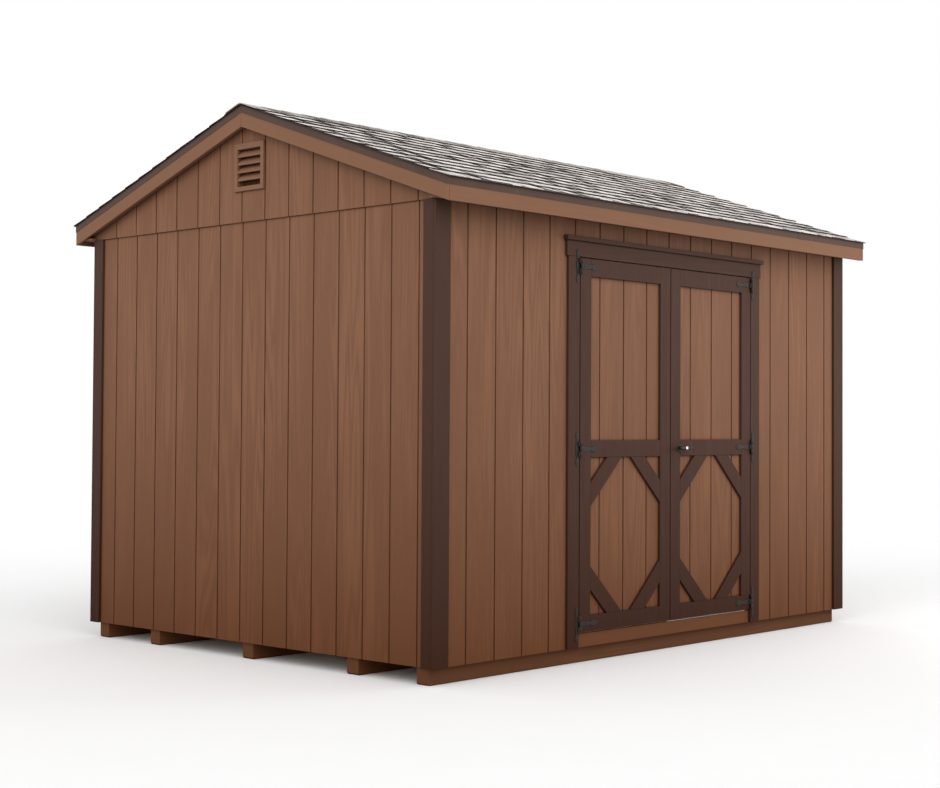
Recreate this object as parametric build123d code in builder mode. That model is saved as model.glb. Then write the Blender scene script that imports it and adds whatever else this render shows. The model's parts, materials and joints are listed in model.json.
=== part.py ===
from build123d import *
from math import atan, cos, degrees, radians, tan
import os

os.makedirs("parts", exist_ok=True)

# A framed timber garden shed on skids, with a gable roof and double doors.
# Millimetres. The origin is the middle of the footprint on the ground,
# the doors face -Y and the ridge runs along X.

# Overall form
wall_length = 3658
wall_width = 2970
eave_overhang = 144
rake_overhang = 62
eave_height = 2492
roof_pitch = degrees(atan(4 / 12))

# Sawn timber and boards
timber_thickness = 38
timber_depth = 89
siding_thickness = 16
trim_thickness = 16
deck_thickness = 16
roof_deck_thickness = 12
soffit_thickness = 10
board_gap = 0.5
sheet_gap = 0.3

# Grooves of the panel siding
groove_spacing = 203.2
groove_width = 10
groove_depth = 6
front_groove_offset = 18.4
side_groove_offset = 54.2

# Skids and floor
skid_width = 89
skid_height = 89
skid_setback = 46
inner_skid_offset = 871
skid_end_chamfer = 8
joist_spacing = 406

# Walls
stud_spacing = 610
top_plate_layers = 2
gable_joint_rise = 1
gable_panel_step = 9.5
corner_board_face = 105
corner_board_side = 89

# Roof finish
fascia_height = 104
fascia_thickness = 16
drip_edge_face = 38
drip_edge_flange = 50
drip_edge_thickness = 1.5
shingle_thickness = 9
shingle_step = 4
shingle_exposure = 143
shingle_overhang = 10
ridge_cap_width = 130
soffit_drop = 92
rake_soffit_setback = 15
ridge_board_depth = 140

# Gable vents
vent_drop = 332
vent_offset = -18
vent_frame_width = 257
vent_frame_height = 264
vent_hole_width = 204
vent_hole_height = 207
vent_hole_drop = 3.5
vent_frame_thickness = 12
vent_slat_count = 4
vent_slat_pitch = 43.8
vent_slat_run = 34
vent_slat_thickness = 4
vent_lip_height = 9
vent_lip_setback = 2
first_lip_drop = 44

# Double doors
door_centre = 16
leaf_width = 781
door_floor_overlap = 23
door_head_drop = 301
leaf_gap = 6
door_stop_gap = 5
door_stop_overlap = 25
casing_width = 89
header_board_height = 85
header_board_overlap = 13
header_cap_height = 24
header_cap_depth = 32
header_cap_overlap = 12
stile_width = 89
top_rail_width = 95
mid_rail_width = 92
mid_rail_rise = 941
bottom_rail_width = 87
brace_width = 89
brace_setback = 137
door_frame_board = 64
door_frame_inset = 10
threshold_thickness = 3
threshold_depth = 85
sill_strip_thickness = 2
sill_end_piece = 40

# Strap hinges and lock
hinge_end_inset = 45
hinge_plate_thickness = 3
hinge_barrel_radius = 8
hinge_barrel_length = 85
hinge_pin_clearance = 0.3
strap_length = 142
strap_width = 34
strap_neck_width = 15
flange_length = 186
flange_width = 26
flange_neck_width = 12
handle_inset = 80
handle_length = 114
handle_bar_height = 20
handle_bar_depth = 16
handle_bar_fillet = 5
handle_stand_off = 41
handle_stem_radius = 12
handle_hole_clearance = 0.5
handle_plate_radius = 23
handle_plate_thickness = 4
handle_plate_chamfer = 2

# Values that follow from the sizes above
half_length = wall_length / 2
half_width = wall_width / 2
frame_x = half_length - siding_thickness
frame_y = half_width - siding_thickness
slope = tan(radians(roof_pitch))
slope_cos = cos(radians(roof_pitch))
eave_y = half_width + eave_overhang
rake_x = half_length + rake_overhang
deck_top = skid_height + timber_depth + deck_thickness
inner_frame_y = frame_y - timber_depth
inner_frame_x = frame_x - timber_depth


def roof_z(y, depth=0):
    """Height of the roof deck's top at y, or of a line that lies depth below its face."""
    return eave_height + (eave_y - abs(y)) * slope - depth / slope_cos


soffit_height = eave_height - soffit_drop
gable_joint_height = soffit_height + gable_joint_rise
vent_height = roof_z(0) - vent_drop
vent_hole_z = vent_height - vent_hole_drop
leaf_bottom = deck_top - door_floor_overlap
leaf_top = eave_height - door_head_drop
mid_rail_bottom = leaf_bottom + mid_rail_rise
handle_height = mid_rail_bottom + mid_rail_width / 2
hinge_heights = (leaf_bottom + hinge_end_inset, handle_height, leaf_top - hinge_end_inset)
rafter_top_depth = roof_deck_thickness + sheet_gap
rafter_bottom_depth = rafter_top_depth + timber_depth
plate_top = roof_z(inner_frame_y, rafter_bottom_depth)
stud_bottom = deck_top + timber_thickness
stud_top = plate_top - top_plate_layers * timber_thickness
siding_bottom = skid_height
door_half = leaf_width + leaf_gap / 2
opening_half = door_half - door_stop_overlap
opening_top = leaf_top - door_stop_overlap
casing_inner = door_half + leaf_gap
casing_outer = casing_inner + casing_width
header_bottom = leaf_top + leaf_gap
header_top = header_bottom + header_board_height
sill_top = leaf_bottom - leaf_gap - sill_strip_thickness
trim_y = -half_width - trim_thickness
pin_y = trim_y - hinge_plate_thickness - hinge_barrel_radius
pin_offset = door_half + leaf_gap / 2


def save(part, label):
    part.label = label
    export_step(part, f"parts/{label}.step")


def centres(span, spacing):
    """Evenly spaced centres over a span, no further apart than the spacing."""
    bays = max(1, round(span / spacing))
    return [-span / 2 + i * span / bays for i in range(bays + 1)]


def block(x0, x1, y0, y1, z0, z1):
    """One squared board between two corners, added to the part being built."""
    with Locations(((x0 + x1) / 2, (y0 + y1) / 2, (z0 + z1) / 2)):
        Box(x1 - x0, y1 - y0, z1 - z0)


def prism(points, plane, thickness):
    """One board of any outline, drawn on a plane and given a thickness."""
    with BuildSketch(plane) as outline:
        with BuildLine():
            Polyline(*points, close=True)
        make_face()
    extrude(outline.sketch, amount=thickness)


def end_plane(x):
    """Plane across the shed at x: its first axis is Y and its second is Z."""
    return Plane(origin=(x, 0, 0), x_dir=(0, 1, 0), z_dir=(1, 0, 0))


def front_plane(y):
    """Upright plane at y that looks to the front: its first axis is X and its second is Z."""
    return Plane(origin=(0, y, 0), x_dir=(1, 0, 0), z_dir=(0, -1, 0))


def grooves_between(low, high, offset):
    """Groove centres of the siding that fall inside a stretch of wall."""
    steps = range(-20, 21)
    lines = [offset + k * groove_spacing for k in steps]
    return [line for line in lines if low + groove_width < line < high - groove_width]


def grooved_panel(x0, x1, z0, z1, face_y, thickness, facing):
    """Siding panel along X whose grooved face lies at face_y and looks along facing."""
    back_y = face_y - facing * thickness
    with BuildSketch(Plane.XY.offset(z0)) as profile:
        with Locations(((x0 + x1) / 2, (face_y + back_y) / 2)):
            Rectangle(x1 - x0, thickness)
        with Locations(*[(x, face_y) for x in grooves_between(x0, x1, front_groove_offset)]):
            Rectangle(groove_width, 2 * groove_depth, mode=Mode.SUBTRACT)
    extrude(profile.sketch, amount=z1 - z0)


def grooved_end_panel(y0, y1, z0, z1, face_x, thickness, facing):
    """Siding panel along Y whose grooved face lies at face_x and looks along facing."""
    back_x = face_x - facing * thickness
    with BuildSketch(Plane.XY.offset(z0)) as profile:
        with Locations(((face_x + back_x) / 2, (y0 + y1) / 2)):
            Rectangle(thickness, y1 - y0)
        with Locations(*[(face_x, y) for y in grooves_between(y0, y1, side_groove_offset)]):
            Rectangle(2 * groove_depth, groove_width, mode=Mode.SUBTRACT)
    extrude(profile.sketch, amount=z1 - z0)


# Skids: square runners under the floor, their lower ends eased for dragging
outer_skid_offset = half_width - skid_setback - skid_width / 2
skid_offsets = (-outer_skid_offset, -inner_skid_offset, 0, inner_skid_offset, outer_skid_offset)

with BuildPart() as skids:
    for y in skid_offsets:
        block(-frame_x, frame_x, y - skid_width / 2, y + skid_width / 2, 0, skid_height)
    chamfer(skids.edges().filter_by(Axis.Y).group_by(Axis.Z)[0], skid_end_chamfer)
save(skids.part, "skids")

# Floor frame and deck
rim_inner_y = frame_y - timber_thickness
joist_top = skid_height + timber_depth

with BuildPart() as floor_rims:
    block(-frame_x, frame_x, -frame_y, -rim_inner_y, skid_height, joist_top)
    block(-frame_x, frame_x, rim_inner_y, frame_y, skid_height, joist_top)
save(floor_rims.part, "floor_rims")

with BuildPart() as floor_joists:
    for x in centres(2 * frame_x - timber_thickness, joist_spacing):
        half = timber_thickness / 2
        block(x - half, x + half, -rim_inner_y, rim_inner_y, skid_height, joist_top)
save(floor_joists.part, "floor_joists")

with BuildPart() as floor_deck:
    block(-frame_x, frame_x, -frame_y, frame_y, joist_top, deck_top)
save(floor_deck.part, "floor_deck")

# Wall framing
opening_left = door_centre - opening_half
opening_right = door_centre + opening_half
end_plate_y = inner_frame_y - board_gap

with BuildPart() as wall_plates:
    for z0, z1 in ((deck_top, stud_bottom), (stud_top, plate_top)):
        block(-frame_x, frame_x, inner_frame_y, frame_y, z0, z1)
        for side in (-1, 1):
            x0, x1 = sorted((side * inner_frame_x, side * frame_x))
            block(x0, x1, -end_plate_y, end_plate_y, z0, z1)
    block(-frame_x, opening_left, -frame_y, -inner_frame_y, deck_top, stud_bottom)
    block(opening_right, frame_x, -frame_y, -inner_frame_y, deck_top, stud_bottom)
    block(-frame_x, frame_x, -frame_y, -inner_frame_y, stud_top, plate_top)
save(wall_plates.part, "wall_plates")


def stud_row(low, high):
    """Stud centres over a stretch of wall, with one flush at each end of it."""
    middle = (low + high) / 2
    return [middle + c for c in centres(high - low - timber_thickness, stud_spacing)]


# A king stud stands full height beside each jack stud that carries the beam
jack_outer = opening_half + timber_thickness
king_inner = jack_outer + board_gap
gable_stud_rows = (
    -stud_spacing - timber_depth,
    vent_offset - vent_hole_width / 2 - timber_depth,
    vent_offset + vent_hole_width / 2,
    stud_spacing,
)


def gable_stud(y0):
    """Board on the flat from the top plate up to the sloping rafter, starting at y0."""
    y1 = y0 + timber_depth
    return (
        (y0, plate_top),
        (y1, plate_top),
        (y1, roof_z(y1, rafter_bottom_depth)),
        (y0, roof_z(y0, rafter_bottom_depth)),
    )


with BuildPart() as wall_studs:
    half = timber_thickness / 2
    front_rows = stud_row(-frame_x, door_centre - king_inner) + stud_row(door_centre + king_inner, frame_x)
    for x in front_rows:
        block(x - half, x + half, -frame_y, -inner_frame_y, stud_bottom, stud_top)
    for side in (-1, 1):
        x0, x1 = sorted((door_centre + side * opening_half, door_centre + side * jack_outer))
        block(x0, x1, -frame_y, -inner_frame_y, stud_bottom, opening_top)
    for x in stud_row(-frame_x, frame_x):
        block(x - half, x + half, inner_frame_y, frame_y, stud_bottom, stud_top)
    for y in stud_row(-end_plate_y, end_plate_y):
        for x in (-frame_x + timber_depth / 2, frame_x - timber_depth / 2):
            block(x - timber_depth / 2, x + timber_depth / 2, y - half, y + half, stud_bottom, stud_top)
    for end in (-1, 1):
        low_x = min(end * frame_x, end * (frame_x - timber_thickness))
        for y in gable_stud_rows:
            prism(gable_stud(y), end_plane(low_x), timber_thickness)
save(wall_studs.part, "wall_studs")

with BuildPart() as door_beam:
    block(
        door_centre - jack_outer,
        door_centre + jack_outer,
        -frame_y,
        -inner_frame_y,
        opening_top,
        stud_top,
    )
save(door_beam.part, "door_beam")

# Siding: grooved panels, cut through for the doors and split beside and over them
siding_top = soffit_height
side_wall_y = half_width - siding_thickness
door_side = casing_inner


def front_panel(name, x0, x1, z0, z1):
    with BuildPart() as panel:
        grooved_panel(x0, x1, z0, z1, -half_width, siding_thickness, -1)
    save(panel.part, name)


front_panel("front_wall_left", -half_length, door_centre - door_side, siding_bottom, siding_top)
front_panel("front_wall_right", door_centre + door_side, half_length, siding_bottom, siding_top)
front_panel("front_wall_over_door", door_centre - door_side, door_centre + door_side, header_bottom, siding_top)

# The board under the doors is plain, with a short end piece beside the right casing
sill_joint = door_centre + door_side - sill_end_piece

with BuildPart() as door_sill:
    for x0, x1 in ((door_centre - door_side, sill_joint - board_gap), (sill_joint, door_centre + door_side)):
        block(x0, x1, -half_width, -frame_y, siding_bottom, sill_top)
save(door_sill.part, "door_sill")

with BuildPart() as back_wall:
    grooved_panel(-half_length, half_length, siding_bottom, siding_top, half_width, siding_thickness, 1)
save(back_wall.part, "back_wall")

for name, side in (("left_wall", -1), ("right_wall", 1)):
    with BuildPart() as end_wall:
        grooved_end_panel(
            -side_wall_y,
            side_wall_y,
            siding_bottom,
            gable_joint_height,
            side * half_length,
            siding_thickness,
            side,
        )
    save(end_wall.part, name)

# Gable panels stand proud of the wall below, close the ends of the eaves and have a hole for the vent
rafter_tail_z = soffit_height + soffit_thickness
fascia_back_y = eave_y - fascia_thickness
gable_face_x = half_length + gable_panel_step
gable_end_y = fascia_back_y - board_gap
gable_end_z = roof_z(gable_end_y, rafter_top_depth)
gable_outline = (
    (-half_width, gable_joint_height),
    (half_width, gable_joint_height),
    (half_width, rafter_tail_z),
    (gable_end_y, rafter_tail_z),
    (gable_end_y, gable_end_z),
    (0, roof_z(0, rafter_top_depth)),
    (-gable_end_y, gable_end_z),
    (-gable_end_y, rafter_tail_z),
    (-half_width, rafter_tail_z),
)
gable_grooves = grooves_between(-half_width, half_width, side_groove_offset)

for name, side in (("left_gable", -1), ("right_gable", 1)):
    face_x = side * gable_face_x
    low_x = min(face_x, face_x - side * siding_thickness)
    with BuildPart() as gable:
        prism(gable_outline, end_plane(low_x), siding_thickness)
        with Locations(*[(face_x, y, vent_height) for y in gable_grooves]):
            Box(2 * groove_depth, groove_width, wall_width, mode=Mode.SUBTRACT)
        with Locations((face_x, vent_offset, vent_hole_z)):
            Box(4 * siding_thickness, vent_hole_width, vent_hole_height, mode=Mode.SUBTRACT)
    save(gable.part, name)

# Corner boards: the one on the front or back laps over the edge of the one on the gable
corner_top = soffit_height

with BuildPart() as gable_corner_boards:
    for sx in (-1, 1):
        for sy in (-1, 1):
            inner_y = half_width + trim_thickness - corner_board_side
            x0, x1 = sorted((sx * half_length, sx * (half_length + trim_thickness)))
            y0, y1 = sorted((sy * inner_y, sy * (half_width - sheet_gap)))
            block(x0, x1, y0, y1, siding_bottom, gable_joint_height - board_gap)
save(gable_corner_boards.part, "gable_corner_boards")

with BuildPart() as eave_corner_boards:
    for sx in (-1, 1):
        for sy in (-1, 1):
            outer = half_length + trim_thickness
            x0, x1 = sorted((sx * outer, sx * (outer - corner_board_face)))
            y0, y1 = sorted((sy * half_width, sy * (half_width + trim_thickness)))
            block(x0, x1, y0, y1, siding_bottom, corner_top - board_gap)
save(eave_corner_boards.part, "eave_corner_boards")

# Roof frame: a ridge board and rafters notched over the plates
ridge_half = timber_thickness / 2
ridge_top = roof_z(ridge_half, rafter_top_depth)

with BuildPart() as ridge_board:
    block(-frame_x, frame_x, -ridge_half, ridge_half, ridge_top - ridge_board_depth, ridge_top)
save(ridge_board.part, "ridge_board")

rafter_foot_y = ridge_half + board_gap
tail_end_y = fascia_back_y - board_gap
tail_turn_y = eave_y - (rafter_tail_z + rafter_bottom_depth / slope_cos - eave_height) / slope
rafter_outline = (
    (rafter_foot_y, roof_z(rafter_foot_y, rafter_top_depth)),
    (tail_end_y, roof_z(tail_end_y, rafter_top_depth)),
    (tail_end_y, rafter_tail_z),
    (tail_turn_y, rafter_tail_z),
    (frame_y, roof_z(frame_y, rafter_bottom_depth)),
    (frame_y, plate_top),
    (inner_frame_y, plate_top),
    (rafter_foot_y, roof_z(rafter_foot_y, rafter_bottom_depth)),
)

with BuildPart() as rafters:
    for x in centres(2 * frame_x - timber_thickness, stud_spacing):
        for side in (-1, 1):
            outline = [(side * y, z) for y, z in rafter_outline]
            prism(outline, end_plane(x - timber_thickness / 2), timber_thickness)
save(rafters.part, "rafters")

# Roof decks, shingles and ridge cap
deck_outline = (
    (board_gap, roof_z(board_gap)),
    (eave_y, roof_z(eave_y)),
    (eave_y, roof_z(eave_y, roof_deck_thickness)),
    (board_gap, roof_z(board_gap, roof_deck_thickness)),
)

with BuildPart() as roof_decks:
    for side in (-1, 1):
        outline = [(side * y, z) for y, z in deck_outline]
        prism(outline, end_plane(-rake_x), 2 * rake_x)
save(roof_decks.part, "roof_decks")

shingle_lift = drip_edge_thickness + sheet_gap
shingle_x = rake_x + drip_edge_thickness + shingle_overhang
shingle_end_y = eave_y + drip_edge_thickness + shingle_overhang
shingle_run = shingle_end_y - board_gap
course_count = round(shingle_run / slope_cos / shingle_exposure)
course_run = shingle_run / course_count


def shingle_courses():
    """Outline of one slope, each course stepping up over the one below it."""
    butt_depth = -shingle_lift - shingle_thickness
    points = [
        (board_gap, roof_z(board_gap, -shingle_lift)),
        (shingle_end_y, roof_z(shingle_end_y, -shingle_lift)),
    ]
    for course in range(course_count):
        low_y = shingle_end_y - course * course_run
        high_y = low_y - course_run
        points.append((low_y, roof_z(low_y, butt_depth)))
        points.append((high_y, roof_z(high_y, butt_depth + shingle_step)))
    return points


for name, side in (("front_shingles", -1), ("back_shingles", 1)):
    with BuildPart() as shingles:
        outline = [(side * y, z) for y, z in shingle_courses()]
        prism(outline, end_plane(-shingle_x), 2 * shingle_x)
    save(shingles.part, name)

cap_lift = shingle_lift + shingle_thickness + sheet_gap
ridge_cap_outline = (
    (0, roof_z(0, -cap_lift)),
    (ridge_cap_width, roof_z(ridge_cap_width, -cap_lift)),
    (ridge_cap_width, roof_z(ridge_cap_width, -cap_lift - shingle_thickness)),
    (0, roof_z(0, -cap_lift - shingle_thickness)),
    (-ridge_cap_width, roof_z(ridge_cap_width, -cap_lift - shingle_thickness)),
    (-ridge_cap_width, roof_z(ridge_cap_width, -cap_lift)),
)

with BuildPart() as ridge_cap:
    prism(ridge_cap_outline, end_plane(-shingle_x), 2 * shingle_x)
save(ridge_cap.part, "ridge_cap")

# Drip edges: folded metal over the deck's edge, down over the fascia or rake board
with BuildPart() as eave_drip_edges:
    for side in (-1, 1):
        outer = eave_y + drip_edge_thickness
        inner = eave_y - drip_edge_flange
        outline = (
            (inner, roof_z(inner)),
            (eave_y, roof_z(eave_y)),
            (eave_y, eave_height - drip_edge_face),
            (outer, eave_height - drip_edge_face),
            (outer, roof_z(outer, -drip_edge_thickness)),
            (inner, roof_z(inner, -drip_edge_thickness)),
        )
        prism([(side * y, z) for y, z in outline], end_plane(-rake_x), 2 * rake_x)
save(eave_drip_edges.part, "eave_drip_edges")

with BuildPart() as rake_drip_edges:
    for end in (-1, 1):
        for side in (-1, 1):
            top_y = board_gap
            low_y = eave_y + drip_edge_thickness
            outline = (
                (top_y, roof_z(top_y, -drip_edge_thickness)),
                (low_y, roof_z(low_y, -drip_edge_thickness)),
                (low_y, roof_z(low_y) - drip_edge_face),
                (top_y, roof_z(top_y) - drip_edge_face),
            )
            x0 = end * (rake_x + board_gap)
            x1 = x0 + end * drip_edge_thickness
            prism([(side * y, z) for y, z in outline], end_plane(min(x0, x1)), drip_edge_thickness)
save(rake_drip_edges.part, "rake_drip_edges")

# Fascias and rake boards hang below the deck, the rake boards cut plumb at the eave
fascia_bottom = eave_height - roof_deck_thickness / slope_cos - fascia_height
fascia_end_x = rake_x - trim_thickness - board_gap

with BuildPart() as eave_fascias:
    for side in (-1, 1):
        outline = (
            (fascia_back_y, fascia_bottom),
            (eave_y, fascia_bottom),
            (eave_y, roof_z(eave_y, rafter_top_depth)),
            (fascia_back_y, roof_z(fascia_back_y, rafter_top_depth)),
        )
        prism([(side * y, z) for y, z in outline], end_plane(-fascia_end_x), 2 * fascia_end_x)
save(eave_fascias.part, "eave_fascias")

rake_depth = fascia_height * slope_cos

with BuildPart() as rake_boards:
    for end in (-1, 1):
        for side in (-1, 1):
            outline = (
                (board_gap, roof_z(board_gap, rafter_top_depth)),
                (eave_y, roof_z(eave_y, rafter_top_depth)),
                (eave_y, roof_z(eave_y, rafter_top_depth + rake_depth)),
                (board_gap, roof_z(board_gap, rafter_top_depth + rake_depth)),
            )
            x0 = min(end * rake_x, end * (rake_x - trim_thickness))
            prism([(side * y, z) for y, z in outline], end_plane(x0), trim_thickness)
save(rake_boards.part, "rake_boards")

# Soffits close the underside of the overhangs
soffit_back_y = half_width + board_gap

with BuildPart() as eave_soffits:
    for side in (-1, 1):
        y0, y1 = sorted((side * soffit_back_y, side * (fascia_back_y - board_gap)))
        block(-fascia_end_x, fascia_end_x, y0, y1, soffit_height, rafter_tail_z - board_gap)
save(eave_soffits.part, "eave_soffits")

rake_soffit_bottom = rafter_top_depth + rake_depth - rake_soffit_setback
rake_soffit_top = rake_soffit_bottom - soffit_thickness
rake_soffit_end_y = eave_y - (rafter_tail_z + rake_soffit_bottom / slope_cos - eave_height) / slope

with BuildPart() as rake_soffits:
    for end in (-1, 1):
        for side in (-1, 1):
            outline = (
                (board_gap, roof_z(board_gap, rake_soffit_top)),
                (rake_soffit_end_y, roof_z(rake_soffit_end_y, rake_soffit_top)),
                (rake_soffit_end_y, rafter_tail_z),
                (board_gap, roof_z(board_gap, rake_soffit_bottom)),
            )
            x0, x1 = sorted((end * (gable_face_x + board_gap), end * (rake_x - trim_thickness - board_gap)))
            prism([(side * y, z) for y, z in outline], end_plane(x0), x1 - x0)
save(rake_soffits.part, "rake_soffits")

# Louvred vents, one high on each gable
with BuildPart() as vent_frames:
    for end in (-1, 1):
        x0 = min(end * gable_face_x, end * (gable_face_x + vent_frame_thickness))
        with BuildSketch(end_plane(x0)):
            with Locations((vent_offset, vent_height)):
                Rectangle(vent_frame_width, vent_frame_height)
            with Locations((vent_offset, vent_hole_z)):
                Rectangle(vent_hole_width, vent_hole_height, mode=Mode.SUBTRACT)
        extrude(amount=vent_frame_thickness)
save(vent_frames.part, "vent_frames")

slat_length = vent_hole_width - 2 * sheet_gap
lip_out = vent_frame_thickness - vent_lip_setback
first_lip_z = vent_hole_z + vent_hole_height / 2 - first_lip_drop


def slat_outline(lip_z):
    """Slat that slopes down to the outside and ends in a short upright lip."""
    inner = lip_out - vent_slat_run
    bend_z = lip_z + vent_lip_height
    drop = vent_slat_thickness * 2 ** 0.5
    return (
        (lip_out, lip_z),
        (lip_out, bend_z),
        (inner, bend_z + vent_slat_run),
        (inner, bend_z + vent_slat_run - drop),
        (lip_out - vent_slat_thickness, bend_z + vent_slat_thickness - drop),
        (lip_out - vent_slat_thickness, lip_z),
    )


with BuildPart() as vent_slats:
    for end in (-1, 1):
        slat_plane = Plane(
            origin=(end * gable_face_x, vent_offset + end * slat_length / 2, 0),
            x_dir=(end, 0, 0),
            z_dir=(0, -end, 0),
        )
        for i in range(vent_slat_count):
            prism(slat_outline(first_lip_z - i * vent_slat_pitch), slat_plane, slat_length)
save(vent_slats.part, "vent_slats")

# Door surround: casings, header board with a cap, and a metal threshold
with BuildPart() as door_casings:
    for side in (-1, 1):
        x0, x1 = sorted((door_centre + side * casing_inner, door_centre + side * casing_outer))
        block(x0, x1, trim_y, -half_width, siding_bottom, header_bottom - board_gap)
save(door_casings.part, "door_casings")

header_half = casing_outer + header_board_overlap

with BuildPart() as header_board:
    block(
        door_centre - header_half,
        door_centre + header_half,
        trim_y,
        -half_width,
        header_bottom,
        header_top,
    )
save(header_board.part, "header_board")

cap_half = header_half + header_cap_overlap

with BuildPart() as header_cap:
    block(
        door_centre - cap_half,
        door_centre + cap_half,
        -half_width - header_cap_depth,
        -half_width,
        header_top,
        header_top + header_cap_height,
    )
save(header_cap.part, "header_cap")

panel_thickness = siding_thickness - door_stop_gap
threshold_front = -frame_y
threshold_outline = (
    (threshold_front, deck_top),
    (threshold_front + threshold_depth, deck_top),
    (threshold_front + threshold_depth, deck_top + threshold_thickness),
    (threshold_front, deck_top + threshold_thickness),
)

# A second metal strip lies on the sill board under the right leaf
with BuildPart() as threshold:
    prism(threshold_outline, end_plane(opening_left + board_gap), 2 * (opening_half - board_gap))
    block(door_centre, sill_joint, -half_width, -frame_y, sill_top, sill_top + sill_strip_thickness)
save(threshold.part, "threshold")


# Door leaves: a grooved panel cut from the wall, framed with boards and four short braces
def leaf_panel(x0, x1, name):
    with BuildPart() as panel:
        grooved_panel(x0, x1, leaf_bottom, leaf_top, -half_width, panel_thickness, -1)
    save(panel.part, name)


rail_levels = (
    (leaf_bottom, leaf_bottom + bottom_rail_width),
    (mid_rail_bottom, mid_rail_bottom + mid_rail_width),
    (leaf_top - top_rail_width, leaf_top),
)
brace_low = rail_levels[0][1] + board_gap
brace_high = rail_levels[1][0] - board_gap
trim_plane = front_plane(-half_width)


def corner_brace(corner_x, corner_z, inward, upward):
    """Short board at 45 degrees across a corner, cut to the stile and the rail."""
    outer = brace_setback
    inner = brace_setback + brace_width * 2 ** 0.5
    return (
        (corner_x + inward * outer, corner_z),
        (corner_x + inward * inner, corner_z),
        (corner_x, corner_z + upward * inner),
        (corner_x, corner_z + upward * outer),
    )


def leaf_trim(x0, x1, name):
    panel_x0 = x0 + stile_width + board_gap
    panel_x1 = x1 - stile_width - board_gap
    with BuildPart() as trim:
        block(x0, x0 + stile_width, trim_y, -half_width, leaf_bottom, leaf_top)
        block(x1 - stile_width, x1, trim_y, -half_width, leaf_bottom, leaf_top)
        for z0, z1 in rail_levels:
            block(panel_x0, panel_x1, trim_y, -half_width, z0, z1)
        for corner_x, inward in ((panel_x0, 1), (panel_x1, -1)):
            for corner_z, upward in ((brace_low, 1), (brace_high, -1)):
                prism(corner_brace(corner_x, corner_z, inward, upward), trim_plane, trim_thickness)
    save(trim.part, name)


left_leaf = (door_centre - door_half, door_centre - leaf_gap / 2)
right_leaf = (door_centre + leaf_gap / 2, door_centre + door_half)

leaf_panel(*left_leaf, "left_door_panel")
leaf_panel(*right_leaf, "right_door_panel")
leaf_trim(*left_leaf, "left_door_trim")
leaf_trim(*right_leaf, "right_door_trim")


# Inside, each leaf is stiffened by a timber frame that closes between the jack studs
def leaf_frame(x0, x1, name):
    front = -half_width + panel_thickness
    back = front + timber_thickness
    low = deck_top + threshold_thickness + leaf_gap
    high = opening_top - leaf_gap
    rail_half = door_frame_board / 2
    with BuildPart() as frame:
        block(x0, x0 + door_frame_board, front, back, low, high)
        block(x1 - door_frame_board, x1, front, back, low, high)
        for z in (low + rail_half, handle_height, high - rail_half):
            block(
                x0 + door_frame_board + board_gap,
                x1 - door_frame_board - board_gap,
                front,
                back,
                z - rail_half,
                z + rail_half,
            )
    save(frame.part, name)


leaf_frame(opening_left + leaf_gap, left_leaf[1] - door_frame_inset, "left_door_frame")
leaf_frame(right_leaf[0] + door_frame_inset, opening_right - leaf_gap, "right_door_frame")


# Strap hinges: a flange on the casing, a strap on the leaf, and the barrel between them
def spear(origin, direction, length, width, neck_width):
    """Plate that tapers to a neck and ends in a leaf-shaped head, in the face plane of the hinges."""
    neck = length * 0.6
    shoulder = (length * 0.74, width * 0.45)
    with BuildSketch(Plane(origin=origin, x_dir=direction, z_dir=(0, -1, 0))) as outline:
        with BuildLine():
            Polyline((0, 0), (0, width / 2), (neck, neck_width / 2))
            ThreePointArc((neck, neck_width / 2), shoulder, (length, 0))
            mirror(about=Plane.XZ)
        make_face()
    extrude(outline.sketch, amount=hinge_plate_thickness)


def knuckle(pin_x, low_z, height, towards):
    """Length of hinge barrel with the web that joins it to its plate."""
    with BuildSketch(Plane(origin=(pin_x, pin_y, low_z))) as outline:
        Circle(hinge_barrel_radius)
        with Locations((towards * strap_start, knuckle_depth / 2)):
            Rectangle(2 * hinge_barrel_radius, knuckle_depth)
    extrude(outline.sketch, amount=height)


barrel_knuckle = hinge_barrel_length / 3
strap_start = hinge_barrel_radius + hinge_pin_clearance
knuckle_depth = hinge_barrel_radius + hinge_plate_thickness - sheet_gap
plate_y = trim_y - sheet_gap

for name, side in (("left_hinge_straps", -1), ("right_hinge_straps", 1)):
    pin_x = door_centre + side * pin_offset
    with BuildPart() as straps:
        for z in hinge_heights:
            root = (pin_x - side * strap_start, plate_y, z)
            spear(root, (-side, 0, 0), strap_length, strap_width, strap_neck_width)
            low_z = z - barrel_knuckle / 2 + board_gap
            knuckle(pin_x, low_z, barrel_knuckle - 2 * board_gap, -side)
    save(straps.part, name)

with BuildPart() as hinge_flanges:
    for side in (-1, 1):
        pin_x = door_centre + side * pin_offset
        root_x = pin_x + side * (strap_start + flange_width / 2)
        for z in hinge_heights:
            for upward in (-1, 1):
                spear((root_x, plate_y, z), (0, 0, upward), flange_length / 2, flange_width, flange_neck_width)
            for low_z in (z - hinge_barrel_length / 2, z + barrel_knuckle / 2):
                knuckle(pin_x, low_z, barrel_knuckle, side)
save(hinge_flanges.part, "hinge_flanges")

# Lock on the right leaf: a round rose and a T-handle on a thick stem that turns in it
handle_x = right_leaf[0] + handle_inset
handle_plane = Plane(origin=(handle_x, trim_y, handle_height), x_dir=(1, 0, 0), z_dir=(0, -1, 0))
handle_hole_radius = handle_stem_radius + handle_hole_clearance

with BuildPart() as handle_plate:
    with BuildSketch(handle_plane):
        Circle(handle_plate_radius)
        Circle(handle_hole_radius, mode=Mode.SUBTRACT)
    extrude(amount=handle_plate_thickness)
    chamfer(handle_plate.edges().group_by(Axis.Y)[0].sort_by(SortBy.LENGTH)[-1], handle_plate_chamfer)
save(handle_plate.part, "handle_plate")

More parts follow.
